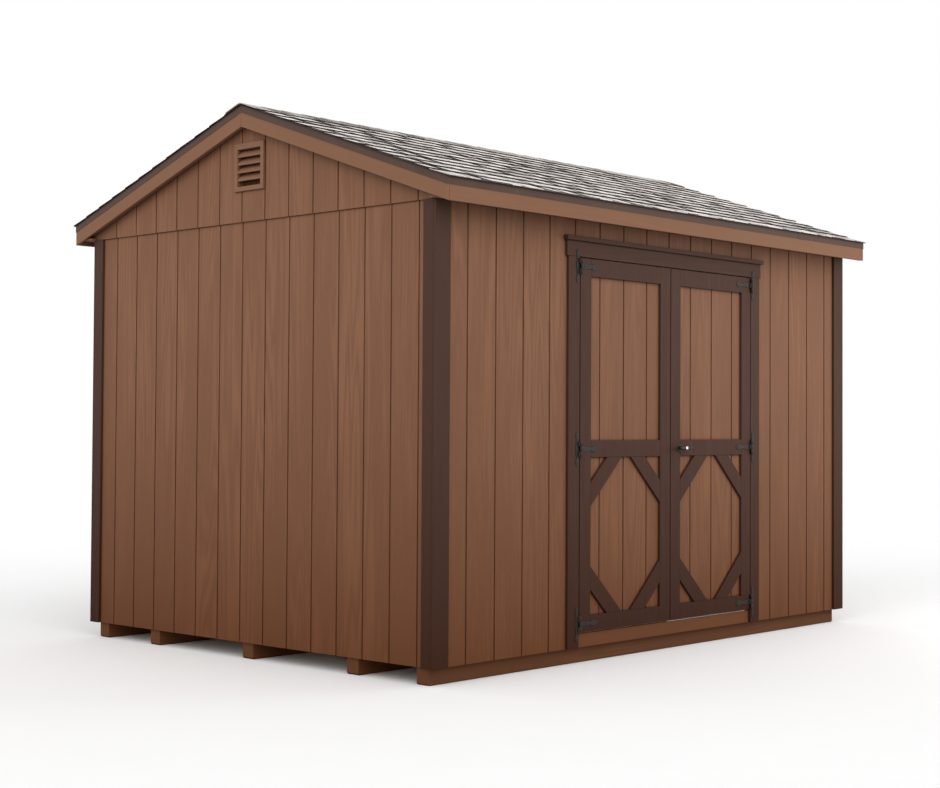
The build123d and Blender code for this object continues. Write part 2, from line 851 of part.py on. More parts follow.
with BuildPart() as t_handle:
    with BuildSketch(handle_plane.offset(handle_stand_off)):
        SlotOverall(handle_length, handle_bar_height)
    extrude(amount=handle_bar_depth)
    fillet(t_handle.edges().group_by(Axis.Y)[0], handle_bar_fillet)
    fillet(t_handle.edges().group_by(Axis.Y)[-1], handle_bar_fillet)
    with BuildSketch(handle_plane.offset(sheet_gap)):
        Circle(handle_stem_radius)
    extrude(amount=handle_stand_off + handle_bar_depth - sheet_gap)
save(t_handle.part, "t_handle")
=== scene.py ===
import bmesh
import bpy
import json
import random
from math import atan, cos, pi, radians, sin
from mathutils import Matrix, Vector

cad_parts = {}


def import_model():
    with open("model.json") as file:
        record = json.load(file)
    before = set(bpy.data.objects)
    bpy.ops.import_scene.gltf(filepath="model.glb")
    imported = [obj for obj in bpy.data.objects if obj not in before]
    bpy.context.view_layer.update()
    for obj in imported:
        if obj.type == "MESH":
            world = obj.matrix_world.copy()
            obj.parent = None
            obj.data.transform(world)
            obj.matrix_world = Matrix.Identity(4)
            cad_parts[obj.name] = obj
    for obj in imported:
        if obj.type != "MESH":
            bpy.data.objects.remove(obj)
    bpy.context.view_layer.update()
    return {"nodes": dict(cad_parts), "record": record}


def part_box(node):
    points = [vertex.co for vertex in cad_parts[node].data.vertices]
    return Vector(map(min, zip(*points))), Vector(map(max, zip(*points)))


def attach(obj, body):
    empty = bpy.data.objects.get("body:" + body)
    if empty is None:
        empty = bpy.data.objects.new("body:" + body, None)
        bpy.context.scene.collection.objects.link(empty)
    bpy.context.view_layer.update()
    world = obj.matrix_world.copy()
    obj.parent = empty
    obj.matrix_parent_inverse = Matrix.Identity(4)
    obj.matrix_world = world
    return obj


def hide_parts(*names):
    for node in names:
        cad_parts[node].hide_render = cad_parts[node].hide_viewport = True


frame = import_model()
scene = bpy.context.scene
scene.view_settings.view_transform = "Standard"
nodes = frame["nodes"]
random.seed(11)

# Camera: in front of the left corner, a little under the middle of the walls
image_width = 940
image_height = 788
focal_pixels = 1650.4
principal_column = 612
principal_row = 384.0
camera_place = (-7.4354, -7.3998, 1.2827)
camera_heading = 49.5985
camera_rise = 1.4577
camera_roll = 0.2034

# Studio light and floor
world_light = 0.74
key_strength = 1.0
key_direction = (0.30, 1.0, -0.55)
side_strength = 0.95
side_direction = (1.0, 0.25, -0.5)
lamp_softness = 60
floor_size = 160
fill_power = 30
fill_place = (3.2, -4.2, 1.8)
fill_target = (1.5, -1.5, 1.2)
fill_size = 1.5

# Shingles: courses of thin bases, with raised tabs on them
roof_slope = 4 / 12
roof_angle = atan(roof_slope)
shingle_exposure = 0.143
shingle_length = 1.0
shingle_joint = 0.0015
shingle_shortest = 0.01
shingle_lap = 1.02
ridge_gap = 0.0005
shingle_base_butt = 0.006
shingle_base_head = 0.001
starter_thickness = 0.0045
tab_thickness = 0.0038
tab_sink = 0.0004
tab_widths = (0.07, 0.19)
tab_gaps = (0.002, 0.015, 0.04, 0.07)
tab_first_gap = 0.05
tab_last_room = 0.03
tab_taper = 0.006
tab_taper_share = 0.2
tab_stagger = 0.003

# Where each shingle lies between the dark and the pale tone; tabs vary at random, while butts, bases and
# the starter are painted shadow and the first course's butts painted light
# The band at each course's head is a printed shadow line and painted shadow under the butt of the course
# above
shadow_band = 0.26
band_tint = 1.3
# Painted shadow: the starter strip, the bases seen between tabs and the butts of tabs are dark where
# shade falls
starter_shadow_tint = -0.9
base_shade_tints = (-0.35, 0.15)
base_edge_shadow_tint = -0.8
tab_tints = (0.5, 0.8, 0.95, 1.1, 1.15)
tab_tint_play = 0.1
tab_edge_shade_tints = (-0.9, -0.9, -0.6, 0.1)
# Painted light: the first course's butts, which face the light, are paler
first_base_edge_lit_tint = 0.1
first_tab_edge_lit_tints = (-0.1, 0.35, 0.7, 0.9)
cap_tints = (0.05, 0.55)

# Ridge caps
cap_exposure = 0.143
cap_lap = 1.3
cap_thickness = 0.004
cap_rise = 0.0035
cap_drop = 0.0035
cap_bend = 0.016
cap_roundness = 0.55
cap_play = 0.004
cap_taper = 0.003

# Lap of the drip edge
lap_place = 1.133
lap_length = 0.05
lap_height = 0.037
lap_thickness = 0.0009

# Hinges, lock and vent screens
hinge_heights = (0.216, 1.158, 2.146)
hinge_plate = 0.0033
strap_screws = (0.030, 0.058, 0.128)
flange_screws = (-0.076, -0.030, 0.030, 0.076)
flange_middle = 0.0213
key_radius = 0.0085
key_sides = 32
key_sink = 0.0002
key_profile = ((1.0, 0.0), (1.0, 0.0006), (0.88, 0.0012), (0.62, 0.0012), (0.56, 0.0007))
keyhole_half_width = 0.08
keyhole_half_height = 0.42
keyhole_out = 0.0007
screen_depth = 0.036
screen_lap = 0.045
screen_pitch = 0.002
screen_thickness = 0.0006

# Fastener heads: radius and height
hinge_screw = (0.0042, 0.0022)
vent_screw = (0.0045, 0.002)
trim_nail = (0.0035, 0.0006)
siding_nail = (0.002975, 0.0006)

# Where the nails are, from the edges and ends of what they hold
board_nail_rows = (0.022, 0.067)
corner_nail_rows = (0.025, 0.08)
board_nail_end = 0.04
board_nail_spacing = 0.4
header_nail_edge = 0.02
leaf_nail_foot = 0.1
leaf_nail_top = 0.03
leaf_nail_spacing = 0.38
siding_nail_outer = 0.115
siding_nail_inner = 0.11
siding_nail_side = 0.09
siding_nail_end = 0.03
siding_nail_spacing = 0.3
stud_spacing = 0.4
vent_screw_side = 0.013
vent_screw_end = 0.015

# Outward directions of the front, the back and the two ends
forward = (0, -1, 0)
backward = (0, 1, 0)
leftward = (-1, 0, 0)
rightward = (1, 0, 0)

# Paint and other colours, as linear red, green and blue
siding_colour = (0.234, 0.110, 0.061)
fascia_colour = (0.240, 0.118, 0.066)
trim_colour = (0.071, 0.034, 0.022)
skid_colour = (0.120, 0.044, 0.016)
drip_colour = (0.078, 0.041, 0.028)
# Pale tone: pale granules, raised to a painted sheen of the sky at grazing angles
shingle_pale_with_sheen = (0.940, 0.885, 0.850)
# Dark tone: dark granules, and painted shadow on butts, bases and bands
shingle_dark = (0.026, 0.017, 0.013)
shingle_warm = (0.340, 0.235, 0.190)
pine_pale = (0.640, 0.440, 0.240)
pine_dark = (0.400, 0.220, 0.095)
pine_knot = (0.160, 0.075, 0.030)
strand_pale = (0.660, 0.470, 0.260)
strand_dark = (0.340, 0.200, 0.095)
strand_fibre = (0.300, 0.170, 0.080)
iron_colour = (0.017, 0.012, 0.010)
iron_dusty = (0.038, 0.032, 0.028)
# Paler tone on iron edges: rubbed coat, and painted highlight of the sky
iron_worn_and_lit = (0.070, 0.058, 0.050)
enamel_dust = (0.160, 0.110, 0.080)
# Near-white threshold: pale metal raised to a painted glint
threshold_glint_colour = (0.970, 0.900, 0.850)
key_colour = (0.800, 0.780, 0.740)
# Brown of the vent screen: painted shade, the tone of the shaded slats
screen_shade_colour = (0.080, 0.035, 0.018)
floor_light = (0.995, 0.995, 0.995)
floor_mottle = (0.985, 0.985, 0.985)
floor_bounce = (0.500, 0.500, 0.500)

# What a colour is multiplied by where paint is blotched, where shade is painted into a joint, and where
# an edge is rubbed pale and painted as highlit
blotched = (0.93, 0.90, 0.86)
painted_joint_shade = (0.42, 0.33, 0.27)
worn_and_highlit = (1.60, 1.55, 1.50)
weathered = (0.80, 0.76, 0.70)

# Painted shade at the foot of the walls: how much of the paint's colour is left there, and how fast the
# shade fades upward
siding_foot_shade = (0.56, 0.41, 0.24)
trim_foot_shade = (0.50, 0.26, 0.10)
foot_power = 1.9
foot_top = 2.2
foot_bottom = 0.05

# Reach of the painted shade in joints, width of the paler band along edges (rubbed paint, and on wood
# and iron also painted highlight), and fineness of the granules
painted_shade_reach = 0.012
paint_wear_and_highlight = 0.0025
enamel_wear = 0.0015
iron_wear_and_highlight = 0.0012
granule_scale = 620
warm_granule_scale = 410


def camera():
    """Camera with the photograph's place, angle and framing."""
    data = bpy.data.cameras.new("camera")
    data.sensor_width = 36
    data.lens = focal_pixels / image_width * data.sensor_width
    data.shift_x = (image_width / 2 - principal_column) / image_width
    data.shift_y = (principal_row - image_height / 2) / image_width
    data.clip_start = 0.1
    data.clip_end = 400
    made = bpy.data.objects.new("camera", data)
    turn = Matrix.Rotation(radians(-camera_heading), 4, "Z")
    turn = turn @ Matrix.Rotation(radians(90 + camera_rise), 4, "X")
    turn = turn @ Matrix.Rotation(radians(camera_roll), 4, "Z")
    made.matrix_world = Matrix.Translation(camera_place) @ turn
    scene.collection.objects.link(made)
    scene.camera = made


def sun(name, direction, strength):
    """Soft distant lamp that shines along a direction."""
    data = bpy.data.lights.new(name, "SUN")
    data.energy = strength
    data.angle = radians(lamp_softness)
    made = bpy.data.objects.new(name, data)
    made.rotation_euler = Vector(direction).to_track_quat("-Z", "Y").to_euler()
    scene.collection.objects.link(made)


def fill_lamp():
    """Square lamp that lifts the right-hand end of the front a little."""
    data = bpy.data.lights.new("fill_light", "AREA")
    data.energy = fill_power
    data.size = fill_size
    made = bpy.data.objects.new("fill_light", data)
    made.location = fill_place
    towards = Vector(fill_target) - Vector(fill_place)
    made.rotation_euler = towards.to_track_quat("-Z", "Y").to_euler()
    made.visible_camera = False
    scene.collection.objects.link(made)


def world():
    """Even studio light, seen as plain white behind the object."""
    made = bpy.data.worlds.new("studio")
    scene.world = made
    made.use_nodes = True
    tree = made.node_tree
    tree.nodes.clear()
    output = tree.nodes.new("ShaderNodeOutputWorld")
    light = tree.nodes.new("ShaderNodeBackground")
    light.inputs["Color"].default_value = (1, 1, 1, 1)
    light.inputs["Strength"].default_value = world_light
    backdrop = tree.nodes.new("ShaderNodeBackground")
    backdrop.inputs["Color"].default_value = (1, 1, 1, 1)
    backdrop.inputs["Strength"].default_value = 1
    path = tree.nodes.new("ShaderNodeLightPath")
    seen = path.outputs["Is Camera Ray"]
    for ray in ("Is Glossy Ray", "Is Transmission Ray"):
        either = tree.nodes.new("ShaderNodeMath")
        either.operation = "MAXIMUM"
        tree.links.new(seen, either.inputs[0])
        tree.links.new(path.outputs[ray], either.inputs[1])
        seen = either.outputs[0]
    choice = tree.nodes.new("ShaderNodeMixShader")
    tree.links.new(seen, choice.inputs["Fac"])
    tree.links.new(light.outputs[0], choice.inputs[1])
    tree.links.new(backdrop.outputs[0], choice.inputs[2])
    tree.links.new(choice.outputs[0], output.inputs["Surface"])


class Finish:
    """One procedural material, with short calls for the nodes that it needs."""

    def __init__(self, name):
        self.material = bpy.data.materials.new(name)
        self.material.use_nodes = True
        self.tree = self.material.node_tree
        self.tree.nodes.clear()
        self.shader = self.add("ShaderNodeBsdfPrincipled")
        output = self.add("ShaderNodeOutputMaterial")
        self.tree.links.new(self.shader.outputs[0], output.inputs["Surface"])
        self.place = self.add("ShaderNodeTexCoord").outputs["Object"]

    def add(self, kind, **settings):
        node = self.tree.nodes.new(kind)
        for key, value in settings.items():
            setattr(node, key, value)
        return node

    def feed(self, socket, value):
        """Links a socket to another, or sets its own value."""
        if isinstance(value, bpy.types.NodeSocket):
            self.tree.links.new(value, socket)
        elif isinstance(value, tuple) and len(value) == 3 and socket.type == "RGBA":
            socket.default_value = (*value, 1)
        else:
            socket.default_value = value

    def math(self, operation, a, b=0.0, c=None):
        node = self.add("ShaderNodeMath", operation=operation)
        self.feed(node.inputs[0], a)
        self.feed(node.inputs[1], b)
        if c is not None:
            self.feed(node.inputs[2], c)
        return node.outputs[0]

    def stretch(self, scale, vector=None, turn=(0, 0, 0)):
        """Coordinates scaled along each axis, after a turn."""
        node = self.add("ShaderNodeMapping")
        self.feed(node.inputs["Vector"], vector or self.place)
        node.inputs["Rotation"].default_value = turn
        node.inputs["Scale"].default_value = scale
        return node.outputs[0]

    def noise(self, vector, scale, detail=3.0, roughness=0.5, distortion=0.0):
        node = self.add("ShaderNodeTexNoise")
        self.feed(node.inputs["Vector"], vector)
        node.inputs["Scale"].default_value = scale
        node.inputs["Detail"].default_value = detail
        node.inputs["Roughness"].default_value = roughness
        node.inputs["Distortion"].default_value = distortion
        return node.outputs["Fac"]

    def cells(self, vector, scale, output):
        node = self.add("ShaderNodeTexVoronoi")
        self.feed(node.inputs["Vector"], vector)
        node.inputs["Scale"].default_value = scale
        return node.outputs[output]

    def grey(self, colour):
        """Brightness of a colour."""
        node = self.add("ShaderNodeRGBToBW")
        self.feed(node.inputs[0], colour)
        return node.outputs[0]

    def spread(self, value, low, high, new_low=0.0, new_high=1.0):
        """Maps a range of values to another, held at its ends."""
        node = self.add("ShaderNodeMapRange")
        self.feed(node.inputs["Value"], value)
        node.inputs["From Min"].default_value = low
        node.inputs["From Max"].default_value = high
        node.inputs["To Min"].default_value = new_low
        node.inputs["To Max"].default_value = new_high
        return node.outputs[0]

    def mix(self, share, a, b, blend="MIX"):
        node = self.add("ShaderNodeMix", data_type="RGBA", blend_type=blend)
        self.feed(node.inputs["Factor"], share)
        self.feed(node.inputs[6], a)
        self.feed(node.inputs[7], b)
        return node.outputs[2]

    def bump(self, height, strength, distance):
        node = self.add("ShaderNodeBump")
        node.inputs["Strength"].default_value = strength
        node.inputs["Distance"].default_value = distance
        self.feed(node.inputs["Height"], height)
        return node.outputs[0]

    def edges(self, radius):
        """One along sharp edges, nothing on flat faces."""
        rounded = self.add("ShaderNodeBevel", samples=4)
        rounded.inputs["Radius"].default_value = radius
        plain = self.add("ShaderNodeNewGeometry").outputs["Normal"]
        dot = self.add("ShaderNodeVectorMath", operation="DOT_PRODUCT")
        self.feed(dot.inputs[0], rounded.outputs[0])
        self.feed(dot.inputs[1], plain)
        return self.spread(dot.outputs["Value"], 0.995, 0.85)

    def painted_shade_mask(self, distance):
        """One deep in grooves and joints, nothing on open faces: where shade is painted in."""
        node = self.add("ShaderNodeAmbientOcclusion", samples=4)
        node.inputs["Distance"].default_value = distance
        return self.spread(node.outputs["AO"], 0.9, 0.35)

    def axis(self, name):
        """One coordinate of the place on the piece."""
        split = self.add("ShaderNodeSeparateXYZ")
        self.feed(split.inputs[0], self.place)
        return split.outputs[name]

    def grain(self, along, share=0.05):
        """Coordinates drawn out along the grain, which may also run down both roof slopes."""
        if along == "slope":
            folded = self.add("ShaderNodeCombineXYZ")
            self.feed(folded.inputs["X"], self.axis("X"))
            self.feed(folded.inputs["Y"], self.math("ABSOLUTE", self.axis("Y")))
            self.feed(folded.inputs["Z"], self.axis("Z"))
            level = self.stretch((1, 1, 1), folded.outputs[0], (roof_angle, 0, 0))
            return self.stretch((1, share, 1), level)
        scale = tuple(share if name == along else 1 for name in "xyz")
        return self.stretch(scale)

    def tinted(self, tone, colour):
        """A tone multiplied by a colour."""
        return self.mix(1.0, tone, colour, "MULTIPLY")

    def set(self, socket, value):
        self.feed(self.shader.inputs[socket], value)


def scaled(colour, share):
    return tuple(channel * share for channel in colour)


def painted_wood(name, colour, along, relief=1.0, contrast=1.0, foot=None, wear_and_highlight=1.0):
    """Satin paint over embossed or sawn wood, with shade painted in towards the ground and in joints,
    and paler edges that are rubbed and painted as highlit.
    """
    finish = Finish(name)
    run = finish.grain(along)
    slow = finish.noise(run, 4.5, 2, 0.5, 0.25)
    rings = finish.spread(finish.math("SINE", finish.math("MULTIPLY", slow, 130)), -1, 1)
    figured = finish.spread(finish.noise(finish.grain(along, 0.2), 4.0, 2, 0.5), 0.42, 0.62, 0.1, 1.0)
    rings = finish.math("MULTIPLY", rings, figured)
    fibre = finish.noise(run, 330, 4, 0.7)
    pores = finish.noise(run, 75, 3, 0.6, 0.4)
    height = finish.math("MULTIPLY_ADD", rings, 0.35, finish.math("MULTIPLY", fibre, 0.3))
    height = finish.math("MULTIPLY_ADD", pores, 0.55, height)
    dark = scaled(colour, 1 - 0.10 * contrast)
    light = scaled(colour, 1 + 0.09 * contrast)
    tone = finish.mix(finish.spread(height, 0.35, 0.8), dark, light)
    blotch = finish.spread(finish.noise(finish.place, 2.2, 3, 0.6), 0.3, 0.7, 0, 0.35)
    tone = finish.mix(blotch, tone, finish.tinted(tone, blotched))
    # Painted shade: the colour grows darker and deeper towards the ground
    if foot:
        low = finish.math("POWER", finish.spread(finish.axis("Z"), foot_top, foot_bottom), foot_power)
        tone = finish.mix(low, tone, finish.tinted(tone, foot))
    # Painted shade: grooves and joints are darkened as if lying in their own shadow
    tone = finish.mix(finish.painted_shade_mask(painted_shade_reach), tone, finish.tinted(tone, painted_joint_shade))
    # Paler edges: rubbed paint, and a painted highlight where the edges catch the light
    worn_and_lit_edges = finish.edges(paint_wear_and_highlight)
    patches = finish.spread(finish.noise(finish.place, 35, 3, 0.6), 0.45, 0.7, 0.1 * wear_and_highlight, 0.4 * wear_and_highlight)
    tone = finish.mix(finish.math("MULTIPLY", worn_and_lit_edges, patches), tone, finish.tinted(tone, worn_and_highlit))
    finish.set("Base Color", tone)
    finish.set("Roughness", finish.spread(pores, 0.3, 0.7, 0.55, 0.72))
    finish.set("Specular IOR Level", 0.16)
    finish.set("Normal", finish.bump(height, 0.35 * relief, 0.002))
    return finish.material


def bare_wood(name, along):
    """Sawn softwood with growth rings, small knots and a rough sawn face."""
    finish = Finish(name)
    run = finish.grain(along)
    slow = finish.noise(run, 9, 2, 0.5, 0.6)
    rings = finish.spread(finish.math("SINE", finish.math("MULTIPLY", slow, 120)), -1, 1)
    fibre = finish.noise(run, 300, 4, 0.7)
    tone = finish.mix(finish.math("POWER", rings, 2.5), pine_pale, pine_dark)
    tone = finish.mix(finish.spread(fibre, 0.35, 0.7, 0, 0.4), tone, scaled(pine_dark, 0.9))
    knot = finish.spread(finish.cells(finish.grain(along, 0.35), 3.3, "Distance"), 0.05, 0.025)
    tone = finish.mix(knot, tone, pine_knot)
    board = finish.spread(finish.noise(finish.place, 1.3, 2, 0.5), 0.35, 0.65, 0, 0.5)
    tone = finish.mix(board, tone, finish.tinted(tone, weathered))
    finish.set("Base Color", tone)
    finish.set("Roughness", finish.spread(fibre, 0.3, 0.7, 0.68, 0.85))
    finish.set("Normal", finish.bump(finish.math("ADD", rings, fibre), 0.35, 0.0012))
    return finish.material


def strand_board(name):
    """Pressed board of wood strands that lie every way."""
    finish = Finish(name)
    warp = finish.noise(finish.place, 9, 2, 0.5)
    bent = finish.add("ShaderNodeVectorMath", operation="ADD")
    finish.feed(bent.inputs[0], finish.place)
    finish.feed(bent.inputs[1], finish.math("MULTIPLY", warp, 0.04))
    layers = []
    for turn in (0.3, 1.4, 2.4):
        run = finish.stretch((9, 32, 20), bent.outputs[0], (0, 0, turn))
        layers.append(finish.cells(run, 1.0, "Color"))
    blend = finish.mix(0.5, finish.mix(0.5, layers[0], layers[1]), layers[2])
    share = finish.spread(finish.grey(blend), 0.3, 0.7)
    tone = finish.mix(share, strand_dark, strand_pale)
    fibre = finish.noise(finish.stretch((0.2, 1, 1)), 200, 3, 0.6)
    tone = finish.mix(finish.spread(fibre, 0.4, 0.7, 0, 0.35), tone, strand_fibre)
    finish.set("Base Color", tone)
    finish.set("Roughness", 0.75)
    finish.set("Normal", finish.bump(share, 0.4, 0.0015))
    return finish.material


def shingle_finish(name):
    """Mineral granules in mixed pale and dark tones, one blend for each face of a tab, which also
    carries painted shadow and painted light.
    """
    finish = Finish(name)
    tint = finish.add("ShaderNodeAttribute", attribute_name="tint").outputs["Fac"]
    granules = finish.grey(finish.cells(finish.place, granule_scale, "Color"))
    streak = finish.noise(finish.stretch((1, 0.25, 0.25)), 30, 4, 0.7)
    share = finish.math("MULTIPLY_ADD", granules, 0.55, tint)
    share = finish.math("MULTIPLY_ADD", streak, 0.5, share)
    warm = finish.grey(finish.cells(finish.place, warm_granule_scale, "Color"))
    pale = finish.mix(finish.spread(warm, 0.62, 0.75, 0, 0.45), shingle_pale_with_sheen, shingle_warm)
    tone = finish.mix(finish.spread(share, 0.45, 1.4), shingle_dark, pale)
    finish.set("Base Color", tone)
    finish.set("Roughness", 0.92)
    finish.set("Specular IOR Level", 0.2)
    grit = finish.cells(finish.place, granule_scale, "Distance")
    finish.set("Normal", finish.bump(grit, 0.8, 0.0012))
    return finish.material


def enamel(name, colour, roughness=0.4):
    """Enamelled sheet metal with slight dents, dust and scuffed edges."""
    finish = Finish(name)
    dents = finish.noise(finish.stretch((0.4, 1, 1)), 14, 2, 0.5)
    dust = finish.noise(finish.place, 6, 5, 0.7)
    tone = finish.mix(finish.spread(dust, 0.45, 0.75, 0, 0.3), colour, enamel_dust)
    tone = finish.mix(finish.math("MULTIPLY", finish.edges(enamel_wear), 0.3), tone, scaled(colour, 2.2))
    finish.set("Base Color", tone)
    finish.set("Roughness", finish.spread(dust, 0.3, 0.7, roughness, roughness + 0.2))
    finish.set("Specular IOR Level", 0.25)
    finish.set("Normal", finish.bump(dents, 0.25, 0.003))
    return finish.material


def bare_metal(name, colour, along=(1, 0.02, 0.02), roughness=0.3, metallic=1.0):
    """Rolled or drawn metal with fine lines and small scratches."""
    finish = Finish(name)
    lines = finish.noise(finish.stretch(along), 900, 3, 0.6)
    scuff = finish.noise(finish.place, 40, 4, 0.7)
    scuffed = finish.spread(scuff, 0.4, 0.7, 0, 0.5)
    finish.set("Base Color", finish.mix(scuffed, colour, scaled(colour, 0.62)))
    finish.set("Metallic", metallic)
    finish.set("Roughness", finish.spread(lines, 0.3, 0.7, roughness, roughness + 0.18))
    finish.set("Normal", finish.bump(lines, 0.15, 0.0004))
    return finish.material


def powder_coat(name):
    """Black powder coat on forged-looking iron, with paler edges: rubbed bare in use, and painted
    highlight where they catch the sky.
    """
    finish = Finish(name)
    peel = finish.noise(finish.place, 700, 2, 0.5)
    dimple = finish.noise(finish.place, 90, 3, 0.6)
    dust = finish.noise(finish.place, 25, 4, 0.7)
    tone = finish.mix(finish.spread(dust, 0.45, 0.75, 0, 0.35), iron_colour, iron_dusty)
    # Paler edges: rubbed coat, and painted highlight where the edges catch the sky
    tone = finish.mix(finish.math("MULTIPLY", finish.edges(iron_wear_and_highlight), 0.6), tone, iron_worn_and_lit)
    finish.set("Base Color", tone)
    finish.set("Roughness", finish.spread(dust, 0.3, 0.7, 0.38, 0.55))
    finish.set("Specular IOR Level", 0.3)
    rough = finish.bump(finish.math("MULTIPLY_ADD", dimple, 0.6, peel), 0.3, 0.0006)
    finish.set("Normal", rough)
    return finish.material


def floor_finish():
    """Pale matt floor, white to the camera away from the shadow."""
    finish = Finish("pale_floor")
    mottle = finish.noise(finish.place, 3, 4, 0.6)
    camera_ray = finish.add("ShaderNodeLightPath").outputs["Is Camera Ray"]
    pale = finish.mix(finish.spread(mottle, 0.3, 0.7), floor_mottle, floor_light)
    finish.set("Base Color", finish.mix(camera_ray, floor_bounce, pale))
    finish.set("Roughness", 0.95)
    finish.set("Specular IOR Level", 0.0)
    return finish.material


def dress_nodes():
    """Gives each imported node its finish, and returns those that other pieces share."""
    siding = painted_wood("siding_paint", siding_colour, "z", 1.2, 1.4, siding_foot_shade, 1.6)
    fascia = painted_wood("fascia_paint", fascia_colour, "x", 0.3, 0.35)
    rake = painted_wood("rake_paint", fascia_colour, "slope", 0.3, 0.35)
    soffit = painted_wood("soffit_paint", siding_colour, "x", 0.5, 0.6)
    upright = painted_wood("trim_upright", trim_colour, "z", 0.4, 0.5, trim_foot_shade)
    level = painted_wood("trim_level", trim_colour, "x", 0.4, 0.5)
    sill = painted_wood("sill_paint", siding_colour, "x", 0.4, 0.6, siding_foot_shade)
    skid = painted_wood("skid_paint", skid_colour, "x", 1.4, 1.2)
    timber_x = bare_wood("timber_along_x", "x")
    timber_y = bare_wood("timber_along_y", "y")
    timber_slope = bare_wood("timber_down_slope", "slope")
    timber_z = bare_wood("timber_upright", "z")
    board = strand_board("strand_board")
    drip = enamel("drip_enamel", drip_colour)
    vent = enamel("vent_enamel", siding_colour, 0.5)
    iron = powder_coat("black_iron")
    finishes = {
        siding: (
            "front_wall_left",
            "front_wall_right",
            "front_wall_over_door",
            "back_wall",
            "left_wall",
            "right_wall",
            "left_gable",
            "right_gable",
            "left_door_panel",
            "right_door_panel",
        ),
        fascia: ("eave_fascias",),
        rake: ("rake_boards",),
        soffit: ("eave_soffits", "rake_soffits"),
        upright: (
            "gable_corner_boards",
            "eave_corner_boards",
            "door_casings",
            "left_door_trim",
            "right_door_trim",
        ),
        level: ("header_board", "header_cap"),
        sill: ("door_sill",),
        skid: ("skids",),
        timber_x: ("floor_rims", "wall_plates", "door_beam", "ridge_board"),
        timber_y: ("floor_joists",),
        timber_slope: ("rafters",),
        timber_z: ("wall_studs", "left_door_frame", "right_door_frame"),
        board: ("floor_deck", "roof_decks"),
        drip: ("eave_drip_edges", "rake_drip_edges"),
        vent: ("vent_frames", "vent_slats"),
        # The threshold's near-white is partly a painted glint
        bare_metal("threshold_metal", threshold_glint_colour, metallic=0.1): ("threshold",),
        iron: ("hinge_flanges", "left_hinge_straps", "right_hinge_straps", "handle_plate", "t_handle"),
    }
    for material, names in finishes.items():
        for name in names:
            data = nodes[name].data
            data.materials.clear()
            data.materials.append(material)
    return {"siding": siding, "trim": upright, "iron": iron, "vent": vent, "drip": drip}


# Width of the eased edges, and the nodes that have them
eased = {
    0.0016: (
        "gable_corner_boards",
        "eave_corner_boards",
        "door_casings",
        "header_board",
        "header_cap",
        "left_door_trim",
        "right_door_trim",
        "eave_fascias",
        "rake_boards",
    ),
    0.0012: (
        "front_wall_left",
        "front_wall_right",
        "front_wall_over_door",
        "door_sill",
        "back_wall",
        "left_wall",
        "right_wall",
        "left_gable",
        "right_gable",
        "left_door_panel",
        "right_door_panel",
    ),
    0.003: (
        "skids",
        "floor_rims",
        "floor_joists",
        "wall_plates",
        "wall_studs",
        "door_beam",
        "ridge_board",
        "rafters",
        "left_door_frame",
        "right_door_frame",
    ),
    0.0006: (
        "vent_frames",
        "hinge_flanges",
        "left_hinge_straps",
        "right_hinge_straps",
        "threshold",
    ),
}


def ease_edges():
    """Adds a narrow rounding to the edges of boards and plates."""
    for width, names in eased.items():
        for name in names:
            node = nodes[name]
            weld = node.modifiers.new("weld", "WELD")
            weld.merge_threshold = 0.00005
            flat = node.modifiers.new("flat", "DECIMATE")
            flat.decimate_type = "DISSOLVE"
            flat.angle_limit = radians(0.5)
            bevel = node.modifiers.new("ease", "BEVEL")
            bevel.width = width
            bevel.segments = 2
            bevel.limit_method = "ANGLE"
            bevel.angle_limit = radians(35)


def mesh_from(name, shapes):
    mesh = bpy.data.meshes.new(name)
    shapes.to_mesh(mesh)
    shapes.free()
    return mesh


def add_piece(name, shapes, body, material, replaced=()):
    """Turns shapes into a piece of the scene, on its body."""
    mesh = mesh_from(name, shapes)
    mesh.materials.append(material)
    piece = bpy.data.objects.new(name, mesh)
    scene.collection.objects.link(piece)
    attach(piece, body)
    if replaced:
        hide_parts(*replaced)
    return piece


def block(shapes, corners):
    """Six faces, the top first, on four corners below in order and the four above them."""
    points = [shapes.verts.new(corner) for corner in corners]
    sides = ((4, 5, 6, 7), (3, 2, 1, 0), (0, 1, 5, 4), (1, 2, 6, 5), (2, 3, 7, 6), (3, 0, 4, 7))
    return [shapes.faces.new([points[i] for i in face]) for face in sides]


def plate(shapes, low, high):
    """Thin square-edged plate between two corners."""
    ring = ((low[0], low[1]), (high[0], low[1]), (high[0], high[1]), (low[0], high[1]))
    block(shapes, [(x, y, z) for z in (low[2], high[2]) for x, y in ring])


def tube(shapes, loops):
    """Faces that join each loop of corners to the next."""
    size = len(loops[0])
    made = []
    for lower, upper in zip(loops, loops[1:]):
        for k in range(size):
            after = (k + 1) % size
            made.append(shapes.faces.new((lower[k], lower[after], upper[after], upper[k])))
    return made


